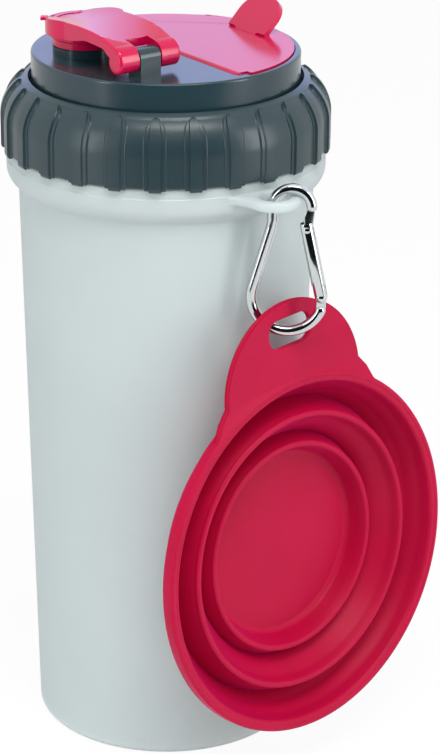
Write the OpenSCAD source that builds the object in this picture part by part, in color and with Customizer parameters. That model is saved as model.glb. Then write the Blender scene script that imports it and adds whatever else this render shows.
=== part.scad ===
// Dog travel bottle: a two-chamber bottle with a screw ring, a spout cap,
// a food flap, a snap hook and a folding bowl. Millimetres, Z up, base on z = 0,
// hanging lug towards -Y, water chamber at -X, food chamber at +X.

/* [Bottle] */
// Outside radius of the body under the collar
body_top_r = 47.5; // [45:0.5:52]
// Outside radius of the body just above the base
body_base_r = 43.8; // [38:0.2:50]
// Height of the body up to the collar's lower edge
body_h = 187.5; // [120:0.5:260]
// Radius of the rounded base edge
base_edge_r = 2; // [0.5:0.5:6]
// Wall thickness
wall = 1.8; // [1.2:0.1:2.4]
// Floor thickness
floor_t = 2.4; // [1.5:0.1:4]
// Thickness of the wall between the chambers
divider_t = 1.8; // [1:0.1:3]
// How far the collar stands out from the body
collar_out = 3.7; // [2.5:0.1:6]
// Rounding of the collar's lower edge
collar_round = 5.7; // [4:0.1:5.8]
// Collar height
collar_h = 12; // [8:0.5:20]
// How far the neck's outside is inside the body's radius
neck_in = 1.9; // [1:0.1:3]
// Neck height above the collar
neck_h = 15.5; // [14:0.5:22]

/* [Hanging lug] */
// Distance from the bottle's axis to the lug's hole
lug_reach = 57; // [56:0.5:70]
// Radius of the lug's rounded end
lug_end_r = 8.3; // [8:0.1:8.6]
// Radius of the lug's hole
lug_hole_r = 4.8; // [4:0.1:5.2]
// Lug thickness
lug_t = 3.3; // [2:0.1:5]
// Depth of the lug's top below the collar's top
lug_drop = 3; // [1:0.5:5]
// Radius of the fillets that join the lug to the collar
lug_fillet = 8; // [4:0.5:9]

/* [Screw ring] */
// Outside radius of the plain panels
ring_r = 52; // [50.5:0.5:60]
// Radius of the shoulder
ring_round = 13.8; // [8:0.2:14.5]
// Gap between the ring and the lid's wall
ring_gap = 1; // [0.5:0.1:2]
// Thickness of the inner ledge at the wall of the lid
ledge_t = 3.7; // [2:0.1:5]
// Wall between the thread space and the panels
ring_wall = 4; // [2.5:0.1:4.5]
// Wall of the shoulder over the lid's flange
shoulder_wall = 1.3; // [1:0.1:1.6]
// Number of grip ribs
rib_n = 26; // [8:1:30]
// Rib width
rib_w = 5; // [3:0.5:7]
// Rib height over the panels
rib_h = 0.8; // [0.4:0.1:1.5]
// Angle of the first rib
rib_turn = -87.8; // [-180:0.1:180]

/* [Lid] */
// Outside radius of the lid
lid_r = 42.8; // [42:0.1:44.5]
// Height of the lid above its seal
lid_h = 13.9; // [12:0.1:20]
// Wall thickness of the lid
lid_wall = 2.2; // [1.5:0.1:3]
// Thickness of the lid's top
lid_top_t = 3.9; // [3:0.1:5]
// Flange radius
flange_r = 46; // [45:0.1:47]
// Flange thickness
flange_t = 2.2; // [1.5:0.1:3]
// Rounding of the lid's top edge
lid_edge_r = 0.9; // [0.3:0.1:1.5]
// Thickness of the lid seal
seal_t = 1.3; // [0.8:0.1:2.5]
// Clearance between soft pieces and their neighbours
soft_gap = 0.3; // [0.2:0.05:0.6]

/* [Spout] */
// Centre of the spout along X
spout_x = -23.4; // [-25:0.1:-20]
// Centre of the spout along Y
spout_y = 11; // [6:0.5:12]
// Outside radius of the spout's base
spout_base_r = 12.1; // [10:0.1:12.8]
// Height of the spout's base
spout_base_h = 2.4; // [1:0.1:4]
// Outside radius of the spout
spout_r = 9.6; // [8:0.1:10]
// Radius of the spout's bore
spout_bore_r = 7.8; // [6:0.1:8]
// Height of the spout
spout_h = 6.5; // [5:0.1:7]
// Radial clearance of the plug in the spout's bore
plug_fit = 0.4; // [0.3:0.05:0.6]
// Wall thickness of the plug
plug_wall = 2.9; // [1.5:0.1:3.2]

/* [Spout cap] */
// Distance from the spout's centre back to the cap's hinge
hinge_back = 32.6; // [28:0.1:34]
// Height of the cap's hinge axis over the lid
hinge_h = 4.9; // [4.2:0.1:6]
// Radius of the cap's knuckles
knuckle_r = 3.4; // [3:0.1:3.6]
// Width of the cap
cap_w = 22.6; // [21:0.1:24]
// Height of the cap's crest over the lid
cap_h = 12.6; // [12:0.1:15]
// Distance from the spout's centre back to the cap's crest
crest_back = 13; // [8:0.5:16]
// Radius of the arched top along the cap
arch_r = 110; // [80:1:200]
// Radius of the hollow across the cap
dish_r = 52; // [40:1:120]
// Width of the lid's hinge block
block_w = 7.4; // [5:0.1:9]
// Depth of the lid's hinge block
block_d = 6.6; // [5:0.1:7.4]
// Radius of the hinge pins of the cap and hook
pin_r = 1.2; // [0.8:0.1:1.4]
// Radial clearance of a pin in its turning bore
pin_fit = 0.05; // [0.02:0.01:0.1]

/* [Food flap] */
// Thickness of the flap
flap_t = 1.8; // [1.4:0.1:2]
// Depth of the lid's recess under the flap
recess_d = 1.3; // [1:0.1:1.5]
// Width of the lid's rim round the flap
rim_w = 1.8; // [1.2:0.1:2.4]
// Distance from the bottle's axis to the flap's hinge axis
flap_axis_x = 0.4; // [0:0.1:1]
// Radius of the flap's hinge barrel
barrel_r = 1.6; // [1.4:0.1:1.8]
// Radius of the flap's hinge pin
flap_pin_r = 0.8; // [0.6:0.05:0.9]
// Radius of the food opening
food_r = 36.5; // [30:0.5:37]
// Width of the finger tab
tab_w = 19; // [16:0.5:28]
// Length of the finger tab
tab_l = 13; // [9:0.5:16]
// Lean of the finger tab from level
tab_lean = 45; // [35:1:70]
// Thickness of the finger tab
tab_t = 1.8; // [1.2:0.1:2.5]

/* [Snap hook] */
// Radius of the hook's wire
wire_r = 1.7; // [1.4:0.1:2]
// Centreline radius of the upper bend
top_bend_r = 6; // [5.6:0.1:7]
// Centreline radius of the lower bend
low_bend_r = 11.2; // [9.5:0.1:12]
// How far the lower bend's centre is behind the upper bend's
low_back = 1.2; // [0:0.1:1.5]
// Distance between the two bends' centres
bend_gap = 29.2; // [27:0.1:34]
// Turn of the hook's plane about Z from the lug's direction
clip_turn = 50; // [40:1:60]
// Radius of the gate
gate_r = 2.2; // [2:0.1:2.6]
// Thickness of the hook's flat tongues
tongue_t = 1.5; // [1:0.1:1.8]
// Radius of the gate's rivet and latch pin
rivet_r = 0.8; // [0.6:0.05:0.9]

/* [Bowl] */
// Outside radius of the rim
bowl_r = 60; // [56:0.5:66]
// Radial width of the rim's flat lip
lip_w = 3.4; // [2.4:0.1:4]
// Depth of the rim's flat lip
lip_t = 4.4; // [2.4:0.1:5]
// Wall thickness of the stiff rings
bowl_wall = 1.8; // [1.4:0.1:2.2]
// Wall thickness of the folding webs
web_t = 1; // [0.7:0.1:1.2]
// Depth of the rim ring
tier_a = 13; // [11:0.1:14]
// Radius at the foot of the rim ring
fold_a_r = 50.2; // [48:0.1:52]
// Radius at the top of the middle ring
fold_b_r = 45.9; // [44:0.1:47]
// Depth of the middle ring's top when folded
fold_b_d = 3.6; // [3.4:0.1:5]
// Radius at the foot of the middle ring
fold_c_r = 38.4; // [37:0.1:40]
// Depth of the middle ring's foot when folded
fold_c_d = 14.8; // [14:0.1:16]
// Radius at the top of the base ring
fold_d_r = 34.9; // [33:0.1:36]
// Depth of the base ring's top when folded
fold_d_d = 8.4; // [8:0.1:10]
// Radius of the floor
floor_r = 32.4; // [28:0.1:33]
// Depth of the floor when folded
floor_d = 15.2; // [15:0.1:17]
// Radius of the hanging ear
ear_r = 27.6; // [20:0.2:29]
// Distance from the bowl's centre to the ear's centre
ear_up = 58.6; // [56:0.2:64]
// Thickness of the ear
ear_t = 2.4; // [1.8:0.1:3]
// Width of the ear's slot
slot_w = 17.5; // [15:0.5:20]
// Height of the ear's slot
slot_h = 9.2; // [8:0.1:10]
// Corner radius of the ear's slot
slot_corner_r = 2.5; // [1:0.1:4]
// How far the hook's wire is from the slot's middle
hang_off = 1.8; // [0:0.1:2]
// How far the ear's face is behind the wire's lowest point
hang_back = -0.1; // [-0.5:0.1:0.4]
// Gap over the wire's lowest point, where the ear rests on the wire's sides
hang_gap = 2.3; // [1.6:0.1:2.4]
// Turn of the bowl about Z
bowl_turn = 6; // [0:0.5:10]
// Lean of the bowl's face upwards
bowl_lean = 4.7; // [2:0.1:8]
// Roll of the bowl on its hook
bowl_roll = 3.5; // [-6:0.5:6]

/* [Hidden] */
$fn = 72;
collar_r = body_top_r + collar_out;
collar_z = body_h + collar_h;
neck_r = max(body_top_r - neck_in, lid_r + 2.8);
neck_z = collar_z + neck_h;
lid_z = neck_z + soft_gap + seal_t;
top_z = lid_z + lid_h;
ring_z = collar_z + 0.4;
ledge_z = lid_z + flange_t + soft_gap;
ring_top = ledge_z + ledge_t;
lug_z = collar_z - lug_drop;
lug_side_x = lug_end_r + lug_fillet;
lug_root_y = sqrt(pow(collar_r + lug_fillet, 2) - pow(lug_side_x, 2));
hinge_y = spout_y - hinge_back;
hinge_z = top_z + hinge_h;
cap_end_r = cap_w / 2 + 1.2;
recess_z = top_z - recess_d;
flap_r = lid_r - rim_w - 0.4;
// Flange and ring grow when the lid or the neck grows past them
flange_out_r = max(flange_r, lid_r + 2.2, neck_r - 0.6);
ring_out_r = max(ring_r, neck_r + 3 * soft_gap + ring_wall);
flap_z = recess_z + soft_gap;
barrel_z = flap_z + flap_t - barrel_r;
barrel_end = flap_r - 2.2;
boss_end = barrel_end + 0.4;
// Snap hook, in its own plane: X away from the spine, Z up
spine_x = -0.6;
top_c = [spine_x + top_bend_r, lug_z - lug_t - 0.4];
low_c = [top_c[0] - low_back, top_c[1] - bend_gap];
spine_a = 16;
spine_bend = 12;
spine_l = (spine_x - spine_bend * (1 - cos(spine_a)) - low_c[0]
  + low_bend_r * cos(spine_a)) / sin(spine_a);
spine_z = low_c[1] + (low_bend_r + spine_bend) * sin(spine_a)
  + spine_l * cos(spine_a);
// The straight part is a hair thinner than the bends and runs into both
straight_lap = 0.4;
rivet_p = [low_c[0] + low_bend_r - 0.6, low_c[1] + 0.4];
latch_p = [top_c[0] + top_bend_r - 1.3, top_c[1] - 6.8];
gate_v = latch_p - rivet_p;
gate_l = norm(gate_v);
gate_a = atan2(gate_v[0], gate_v[1]);
// Bowl: the wire's lowest point carries the ear's slot
wire_p = [low_c[0] * sin(clip_turn), -lug_reach - low_c[0] * cos(clip_turn),
  low_c[1] - low_bend_r];
slot_up = ear_up + ear_r - 10;
hang_z = slot_h / 2 - wire_r - hang_gap;

module ring_arc(rad, r, a0, a1) {
  // Part of a round bar's bend in the XZ plane, angles from +X towards +Z
  rotate([90, 0, 0])
    rotate([0, 0, a0])
      rotate_extrude(angle = a1 - a0)
        translate([rad, 0])
          circle(r);
}

module body_2d(w) {
  // Half section of the bottle, w inside its outer face
  polygon([[0, w > 0 ? floor_t : 0],
    [body_base_r - max(base_edge_r, w + 1), w > 0 ? floor_t : 0],
    [body_base_r - w, max(base_edge_r, w > 0 ? floor_t + 1 : 0)],
    [body_top_r - w, body_h + 2],
    [neck_r - w, collar_z - w],
    [neck_r - w, neck_z + (w > 0 ? 1 : 0)],
    [0, neck_z + (w > 0 ? 1 : 0)]]);
  translate([collar_r - collar_round, body_h + collar_round])
    circle(collar_round - w);
  translate([neck_r - w - 3, body_h + collar_round])
    square([collar_r - neck_r + 3, collar_h - collar_round - w]);
  if (w == 0)
    translate([body_base_r - base_edge_r, base_edge_r])
      circle(base_edge_r);
}

module lug_root_2d() {
  // The lug between its round end and the collar, with a fillet on each side
  difference() {
    polygon([[-lug_side_x, -collar_r + 8], [-lug_side_x + 2, -lug_root_y],
      [-lug_end_r, -lug_reach], [lug_end_r, -lug_reach],
      [lug_side_x - 2, -lug_root_y], [lug_side_x, -collar_r + 8]]);
    translate([0, -lug_reach])
      circle(lug_hole_r);
    for (s = [-1, 1])
      translate([s * lug_side_x, -lug_root_y])
        circle(lug_fillet);
  }
}

module lug_end() {
  // Round end with rounded edges, so that a hook's bend passes round it
  translate([0, -lug_reach, lug_z - lug_t])
    rotate_extrude()
      intersection() {
        union() {
          translate([lug_end_r - lug_t / 2, lug_t / 2])
            circle(lug_t / 2);
          square([lug_end_r - lug_t / 2, lug_t]);
        }
        translate([lug_hole_r, 0])
          square([lug_end_r, lug_t]);
      }
}

module shell(z0, z1) {
  // The bottle's wall and the wall between its chambers, from z0 to z1
  rotate_extrude()
    intersection() {
      difference() {
        body_2d(0);
        body_2d(wall);
      }
      translate([0, z0])
        square([collar_r + 1, z1 - z0]);
    }
  intersection() {
    translate([-divider_t / 2, -collar_r, max(z0, floor_t / 2)])
      cube([divider_t, 2 * collar_r, z1 - max(z0, floor_t / 2)]);
    rotate_extrude()
      body_2d(wall / 2);
  }
}

module bottle() {
  color([0.86, 0.9, 0.9, 0.6])
    shell(0, body_h - 0.5);
}

module bottle_neck() {
  color([0.86, 0.9, 0.9, 0.6]) {
    shell(body_h - 0.5, neck_z);
    lug_end();
    difference() {
      translate([0, 0, lug_z - lug_t])
        linear_extrude(lug_t)
          lug_root_2d();
      translate([0, 0, lug_z - lug_t - 1])
        cylinder(h = lug_t + 2, r = collar_r - wall / 2);
    }
  }
}

module ring_2d(grow, low) {
  // Outer face of the ring: a tall side under a round shoulder
  c = [ring_out_r - ring_round, ring_top - ring_round + 0.5];
  intersection() {
    union() {
      translate([c[0] + grow, c[1]])
        circle(ring_round);
      translate([c[0], ring_z - low])
        square([ring_round + grow, c[1] - ring_z + low]);
    }
    translate([lid_r + ring_gap, ring_z - low])
      square([ring_out_r, ring_top - ring_z + low]);
  }
}

module screw_ring() {
  thread_r = ring_out_r - ring_wall;
  shoulder_z = ring_top - ring_round + 0.5;
  color([0.24, 0.31, 0.33]) {
    rotate_extrude()
      difference() {
        ring_2d(0, 0);
        translate([lid_r, ring_z - 1])
          square([thread_r - lid_r, shoulder_z - ring_z + 1]);
        intersection() {
          translate([ring_out_r - ring_round, shoulder_z])
            circle(ring_round - shoulder_wall);
          translate([lid_r, shoulder_z - 1])
            square([thread_r - lid_r, ledge_z - shoulder_z + 1]);
        }
      }
    intersection() {
      rotate_extrude()
        difference() {
          ring_2d(rib_h, 0.6);
          translate([0, ring_z - 2])
            square([ring_out_r - 0.45, ring_top - ring_z - 8]);
          translate([ring_out_r - ring_round, shoulder_z])
            circle(ring_round - 0.5);
        }
      for (i = [0:rib_n - 1])
        rotate([0, 0, rib_turn + i * 360 / rib_n])
          translate([lid_r + ring_gap + 2, -rib_w / 2, ring_z - 2])
            cube([ring_out_r, rib_w, ring_top - ring_z + 4]);
    }
  }
}

module lid_2d() {
  difference() {
    union() {
      translate([0, lid_z])
        square([lid_r, lid_h - lid_edge_r]);
      translate([0, lid_z])
        square([lid_r - lid_edge_r, lid_h]);
      translate([lid_r - lid_edge_r, top_z - lid_edge_r])
        circle(lid_edge_r);
      translate([0, lid_z])
        square([flange_out_r, flange_t]);
    }
    translate([-1, lid_z - 1])
      square([lid_r - lid_wall + 1, lid_h - lid_top_t + 1]);
  }
}

module half_disc(r, x0, z0, h) {
  // Round plate cut off straight at x0
  intersection() {
    translate([0, 0, z0])
      cylinder(h = h, r = r);
    translate([x0, -r - 1, z0 - 1])
      cube([r + 1 - x0, 2 * r + 2, h + 2]);
  }
}

module hinge_block() {
  r = 2.6;
  y0 = hinge_y - block_d / 2;
  top = hinge_z + 3.6;
  x0 = spout_x - block_w / 2;
  translate([x0, y0, top_z - 1])
    cube([block_w, block_d, top - r - top_z + 1]);
  translate([x0, y0 + r, top - r - 1])
    cube([block_w, block_d - 2 * r, r + 1]);
  for (y = [y0 + r, y0 + block_d - r])
    translate([x0, y, top - r])
      rotate([0, 90, 0])
        cylinder(h = block_w, r = r);
}

module lid_body() {
  color([0.24, 0.31, 0.33])
    difference() {
      union() {
        rotate_extrude()
          lid_2d();
        translate([-1.6, -lid_r + 1, lid_z])
          cube([3.2, 2 * lid_r - 2, lid_h - 1.6]);
        translate([spout_x, spout_y, top_z - 1])
          cylinder(h = spout_base_h + 1, r = spout_base_r);
        translate([spout_x, spout_y, top_z - 1])
          cylinder(h = spout_h + 1, r = spout_r);
        hinge_block();
      }
      difference() {
        half_disc(lid_r - rim_w, flap_axis_x - barrel_r - 0.5, recess_z, 4);
        for (s = [-1, 1])
          translate([-3, s * (boss_end + 4) - 4, recess_z - 1])
            cube([5.6, 8, 6]);
      }
      half_disc(food_r, 5, lid_z + 2, lid_h);
      translate([spout_x, spout_y, lid_z + 2])
        cylinder(h = lid_h + spout_h, r = spout_bore_r);
      translate([flap_axis_x, -boss_end - 0.2, barrel_z])
        rotate([-90, 0, 0])
          cylinder(h = 2 * boss_end + 0.4, r = barrel_r + 0.4);
      translate([flap_axis_x, -flap_r, barrel_z])
        rotate([-90, 0, 0])
          cylinder(h = 2 * flap_r, r = flap_pin_r);
      translate([spout_x - block_w, hinge_y, hinge_z])
        rotate([0, 90, 0])
          cylinder(h = 2 * block_w, r = pin_r + pin_fit);
    }
}

module lid_seal() {
  z0 = neck_z + soft_gap;
  r_in = lid_r - lid_wall + 1;
  color([0.9, 0.9, 0.88])
    union() {
      difference() {
        translate([0, 0, z0])
          cylinder(h = seal_t, r = neck_r + 0.5);
        translate([0, 0, z0 - 1])
          cylinder(h = seal_t + 2, r = r_in);
      }
      translate([-1.5, -r_in - 0.5, z0])
        cube([3, 2 * r_in + 1, seal_t]);
    }
}

module along_cap(w) {
  // Side shape in YZ drawn as XY, made w wide about the cap's middle
  translate([spout_x - w / 2, 0, 0])
    rotate([90, 0, 90])
      linear_extrude(w)
        children();
}

module cap_side_2d() {
  y1 = spout_y + cap_end_r;
  cap_end_h = knuckle_r + 1.6;
  end_r = knuckle_r + 1;
  polygon([[y1, top_z + 8.2], [spout_y + 4, top_z + 6.4],
    [spout_y - 8, top_z + 6.8], [spout_y - 14, top_z + 7.6],
    [hinge_y + 5.5, hinge_z + 2.9], [hinge_y + 3.2, hinge_z + 1],
    [hinge_y, hinge_z], [hinge_y + 1, hinge_z + cap_end_h],
    [hinge_y + 8.5, hinge_z + cap_end_h + 2.3],
    [hinge_y + 8.5, top_z + cap_h + 2], [y1, top_z + cap_h + 2]]);
  translate([hinge_y, hinge_z])
    circle(knuckle_r);
  translate([hinge_y + 1, hinge_z + cap_end_h - end_r])
    intersection() {
      circle(end_r);
      translate([-end_r - 1, end_r - cap_end_h])
        square([end_r + 3, 2 * end_r]);
    }
}

module cap_plan() {
  translate([spout_x, spout_y, top_z])
    cylinder(h = 20, r = cap_end_r);
  translate([spout_x - cap_w / 2, hinge_y - 6, top_z])
    cube([cap_w, hinge_back + 10.5, 20]);
}

module spout_cap() {
  arch_y = spout_y - crest_back;
  skirt_r = spout_base_r + 0.5;
  color([0.89, 0.03, 0.35])
    difference() {
      union() {
        difference() {
          intersection() {
            along_cap(cap_w + 4)
              cap_side_2d();
            cap_plan();
          }
          translate([spout_x, arch_y, top_z + cap_h - arch_r])
            rotate([0, 90, 0])
              rotate_extrude()
                translate([arch_r - 1.3 + dish_r, 0])
                  circle(dish_r);
        }
        translate([spout_x, spout_y, top_z + spout_base_h + 0.5])
          cylinder(h = 6.2, r = skirt_r);
      }
      difference() {
        translate([spout_x, spout_y, top_z])
          cylinder(h = spout_base_h + spout_h, r = skirt_r - 1.8);
        translate([spout_x, spout_y, top_z + 3])
          cylinder(h = spout_h + 1.5, r = spout_bore_r - plug_fit - plug_wall);
      }
      translate([spout_x - cap_w / 2 + 2, spout_y - 24, top_z])
        cube([cap_w - 4, 10.5, 9.7]);
      translate([spout_x - block_w / 2 - 0.5, hinge_y - 8, hinge_z - 5])
        cube([block_w + 1, block_d / 2 + 9.5, 14]);
      translate([spout_x, hinge_y, hinge_z])
        rotate([0, 90, 0])
          cylinder(h = cap_w - 3, r = pin_r, center = true);
    }
}

module spout_plug() {
  color([0.93, 0.93, 0.9])
    difference() {
      union() {
        translate([spout_x, spout_y, top_z + spout_base_h])
          cylinder(h = spout_h, r = spout_bore_r - plug_fit);
        translate([spout_x, spout_y, top_z + spout_h + 0.5])
          cylinder(h = spout_base_h - 0.5, r = spout_r - plug_fit);
      }
      translate([spout_x, spout_y, top_z + 3])
        cylinder(h = spout_h + 1.5, r = spout_bore_r - plug_fit - plug_wall);
    }
}

module cap_hinge_pin() {
  color([0.75, 0.76, 0.78])
    translate([spout_x, hinge_y, hinge_z])
      rotate([0, 90, 0])
        cylinder(h = cap_w - 3.2, r = pin_r, center = true);
}

module food_flap() {
  top = flap_z + flap_t;
  color([0.89, 0.03, 0.35])
    difference() {
      union() {
        difference() {
          half_disc(flap_r, flap_axis_x, flap_z, flap_t);
          for (s = [-1, 1])
            translate([-2, s * (barrel_end + 4) - 4, flap_z - 1])
              cube([5, 8, flap_t + 2]);
        }
        translate([flap_axis_x, -barrel_end, barrel_z])
          rotate([-90, 0, 0])
            cylinder(h = 2 * barrel_end, r = barrel_r);
        translate([flap_r - 7.6, 0, top - 0.9])
          rotate([0, -tab_lean, 0])
            linear_extrude(tab_t) {
              translate([0, -tab_w / 2])
                square([tab_l - 7, tab_w]);
              translate([0, 7 - tab_w / 2])
                square([tab_l, tab_w - 14]);
              for (s = [-1, 1])
                translate([tab_l - 7, s * (tab_w / 2 - 7)])
                  circle(7);
            }
      }
      translate([flap_axis_x, -barrel_end - 1, barrel_z])
        rotate([-90, 0, 0])
          cylinder(h = 2 * barrel_end + 2, r = flap_pin_r + pin_fit);
    }
}

module flap_seal() {
  color([0.93, 0.93, 0.9])
    difference() {
      half_disc(food_r - 0.4, 5.4, flap_z - 2.5, 2.5);
      half_disc(food_r - 2.2, 7.2, flap_z - 3.5, 5);
    }
}

module flap_hinge_pin() {
  color([0.75, 0.76, 0.78])
    translate([flap_axis_x, 0.1 - flap_r, barrel_z])
      rotate([-90, 0, 0])
        cylinder(h = 2 * flap_r - 0.2, r = flap_pin_r);
}

module at_hook() {
  translate([0, -lug_reach, 0])
    rotate([0, 0, clip_turn - 90])
      children();
}

module at_gate() {
  // Origin at the rivet, Z along the gate
  translate([rivet_p[0], 0, rivet_p[1]])
    rotate([0, gate_a, 0])
      children();
}

module tongue_2d(s) {
  // s = 0 for the hinge tongue, 1 for the nose tongue
  if (s == 0) {
    translate(rivet_p)
      circle(1.6);
    polygon([[rivet_p[0] - 1.5, rivet_p[1]], [rivet_p[0] + 1.6, rivet_p[1]],
      [low_c[0] + low_bend_r + 0.6, low_c[1] - 4],
      [low_c[0] + low_bend_r - 1.8, low_c[1] - 4]]);
  } else {
    difference() {
      polygon([[latch_p[0] - 1, latch_p[1] - 2], [latch_p[0] + 1.4, latch_p[1] - 2],
        [latch_p[0] + 2.2, top_c[1] - 1.5],
        [top_c[0] + top_bend_r + 1.2, top_c[1] + 1],
        [top_c[0] + top_bend_r - 1.2, top_c[1] + 1],
        [latch_p[0] - 1, top_c[1] - 3.2]]);
      translate(latch_p) {
        circle(rivet_r + 0.15);
        rotate(-gate_a)
          translate([-4, -rivet_r - 0.15])
            square([4, 2 * rivet_r + 0.3]);
      }
    }
  }
}

module hook_body() {
  color([0.8, 0.81, 0.83])
    difference() {
      at_hook() {
        translate([top_c[0], 0, top_c[1]])
          ring_arc(top_bend_r, wire_r, 0, 180);
        translate([spine_x, 0, spine_z]) {
          cylinder(h = top_c[1] - spine_z, r = wire_r);
          translate([-spine_bend, 0, 0])
            mirror([0, 0, 1])
              ring_arc(spine_bend, wire_r, 0, spine_a);
          translate([-spine_bend, 0, 0])
            rotate([0, spine_a, 0])
              translate([spine_bend, 0, -spine_l]) {
                translate([0, 0, -straight_lap])
                  cylinder(h = spine_l + 2 * straight_lap, r = wire_r - 0.02);
                translate([low_bend_r, 0, 0])
                  ring_arc(low_bend_r, wire_r, 180, 358);
              }
        }
        for (s = [0, 1])
          translate([0, tongue_t / 2, 0])
            rotate([90, 0, 0])
              linear_extrude(tongue_t)
                tongue_2d(s);
      }
      at_hook()
        at_gate()
          rotate([90, 0, 0])
            cylinder(h = 6, r = rivet_r, center = true);
    }
}

module hook_gate() {
  color([0.8, 0.81, 0.83])
    at_hook()
      at_gate()
        difference() {
          union() {
            cylinder(h = gate_l + 1.2, r = gate_r);
            sphere(gate_r);
            translate([0, 0, gate_l + 1.2])
              intersection() {
                sphere(gate_r);
                translate([-3, -3, 0])
                  cube([6, 6, 0.8]);
              }
          }
          translate([-3, -tongue_t / 2 - 0.3, -4])
            cube([6, tongue_t + 0.6, 8.2]);
          translate([-3, -tongue_t / 2 - 0.3, gate_l - 3.6])
            cube([6, tongue_t + 0.6, 8]);
          translate([0, 0, 4])
            cylinder(h = 11, r = 1.15);
          rotate([90, 0, 0])
            cylinder(h = 6, r = rivet_r + pin_fit, center = true);
          translate([0, 0, gate_l])
            rotate([90, 0, 0])
              cylinder(h = 6, r = rivet_r, center = true);
        }
}

module gate_rivet() {
  color([0.8, 0.81, 0.83])
    at_hook()
      at_gate()
        rotate([90, 0, 0])
          cylinder(h = 2 * gate_r - 0.2, r = rivet_r, center = true);
}

module gate_latch_pin() {
  color([0.8, 0.81, 0.83])
    at_hook()
      at_gate()
        translate([0, 0, gate_l])
          rotate([90, 0, 0])
            cylinder(h = 2 * gate_r - 0.2, r = rivet_r, center = true);
}

module gate_spring() {
  color([0.7, 0.7, 0.72])
    at_hook()
      at_gate()
        translate([0, 0, 5])
          difference() {
            cylinder(h = 9.4, r = 0.95);
            translate([0, 0, -1])
              cylinder(h = 12, r = 0.6);
          }
}

module at_bowl() {
  // Origin at the rim's centre, Z out of the bowl's mouth, Y up
  translate(wire_p)
    rotate([0, 0, bowl_turn])
      rotate([-bowl_lean, 0, 0])
        rotate([0, -bowl_roll, 0])
          translate([hang_off, hang_back, -slot_up - hang_z])
            rotate([90, 0, 0])
              children();
}

module cone_ring(r0, z0, r1, z1, t) {
  // Sloping ring between two radii at two depths, t thick inwards
  rotate_extrude()
    polygon([[r0, -z0], [r1, -z1], [r1 - t, -z1], [r0 - t, -z0]]);
}

module slot_2d() {
  w = slot_w / 2 - slot_corner_r;
  h = slot_h / 2 - slot_corner_r;
  square([slot_w, 2 * h], center = true);
  square([2 * w, slot_h], center = true);
  for (x = [-w, w], y = [-h, h])
    translate([x, y])
      circle(slot_corner_r);
}

module bowl_rim() {
  color([0.83, 0.06, 0.33])
    at_bowl() {
      cone_ring(bowl_r - 1.4, 0, fold_a_r, tier_a, bowl_wall);
      translate([0, 0, -lip_t])
        difference() {
          cylinder(h = lip_t, r = bowl_r);
          translate([0, 0, -1])
            cylinder(h = lip_t + 2, r = bowl_r - lip_w);
        }
      translate([0, 0, -ear_t])
        linear_extrude(ear_t)
          difference() {
            union() {
              translate([0, ear_up])
                circle(ear_r);
              polygon([[-37, 44], [-33.6, 48.5], [-29.6, 57], [-25.9, 63],
                [25.9, 63], [29.6, 57], [33.6, 48.5], [37, 44]]);
            }
            circle(bowl_r - lip_w + 0.2);
            translate([0, slot_up])
              slot_2d();
          }
    }
}

module bowl_outer_web() {
  color([0.83, 0.06, 0.33])
    at_bowl()
      rotate_extrude()
        polygon([[fold_a_r - bowl_wall - 0.1, -tier_a],
          [fold_a_r - bowl_wall - 0.1, -tier_a + 1.2],
          [fold_b_r + 0.1, -fold_b_d], [fold_b_r + 0.1, -fold_b_d - web_t - 0.8]]);
}

module bowl_middle() {
  color([0.83, 0.06, 0.33])
    at_bowl()
      cone_ring(fold_b_r, fold_b_d, fold_c_r, fold_c_d, bowl_wall);
}

module bowl_inner_web() {
  color([0.83, 0.06, 0.33])
    at_bowl()
      rotate_extrude()
        polygon([[fold_c_r - bowl_wall - 0.1, -fold_c_d],
          [fold_c_r - bowl_wall - 0.1, -fold_c_d + 1.2],
          [fold_d_r + 0.1, -fold_d_d], [fold_d_r + 0.1, -fold_d_d - web_t - 0.8]]);
}

module bowl_base() {
  color([0.83, 0.06, 0.33])
    at_bowl() {
      cone_ring(fold_d_r, fold_d_d, floor_r, floor_d, bowl_wall);
      translate([0, 0, -floor_d - 1.6])
        cylinder(h = 1.6, r = floor_r);
    }
}

bottle();
bottle_neck();
screw_ring();
lid_body();
lid_seal();
spout_cap();
spout_plug();
cap_hinge_pin();
food_flap();
flap_seal();
flap_hinge_pin();
hook_body();
hook_gate();
gate_rivet();
gate_latch_pin();
gate_spring();
bowl_rim();
bowl_outer_web();
bowl_middle();
bowl_inner_web();
bowl_base();
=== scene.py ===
import bpy
import bmesh
import math
import numpy as np
from mathutils import Matrix, Vector


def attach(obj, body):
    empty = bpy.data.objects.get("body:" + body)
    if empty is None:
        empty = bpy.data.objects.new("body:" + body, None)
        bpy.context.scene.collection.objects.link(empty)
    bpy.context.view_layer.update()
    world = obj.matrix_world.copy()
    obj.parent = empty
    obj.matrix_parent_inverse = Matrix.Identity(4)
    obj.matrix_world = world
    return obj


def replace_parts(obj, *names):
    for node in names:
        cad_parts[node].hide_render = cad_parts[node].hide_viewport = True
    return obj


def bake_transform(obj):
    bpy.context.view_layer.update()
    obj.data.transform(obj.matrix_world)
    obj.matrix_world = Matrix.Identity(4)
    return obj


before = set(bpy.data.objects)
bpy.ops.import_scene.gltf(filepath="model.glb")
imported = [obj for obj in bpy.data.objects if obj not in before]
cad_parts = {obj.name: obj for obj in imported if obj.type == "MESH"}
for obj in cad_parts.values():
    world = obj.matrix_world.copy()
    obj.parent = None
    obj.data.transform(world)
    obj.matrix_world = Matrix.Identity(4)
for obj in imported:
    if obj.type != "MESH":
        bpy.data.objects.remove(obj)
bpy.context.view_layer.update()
mm = 0.001

# Camera: place in metres, angles in degrees, lens and sensor in mm
camera = {"place": (-0.48428, -0.67893, 0.45551), "heading": 36.716, "pitch": -22.031,
          "roll": 0.342, "lens": 129.41, "sensor": 36}


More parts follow.
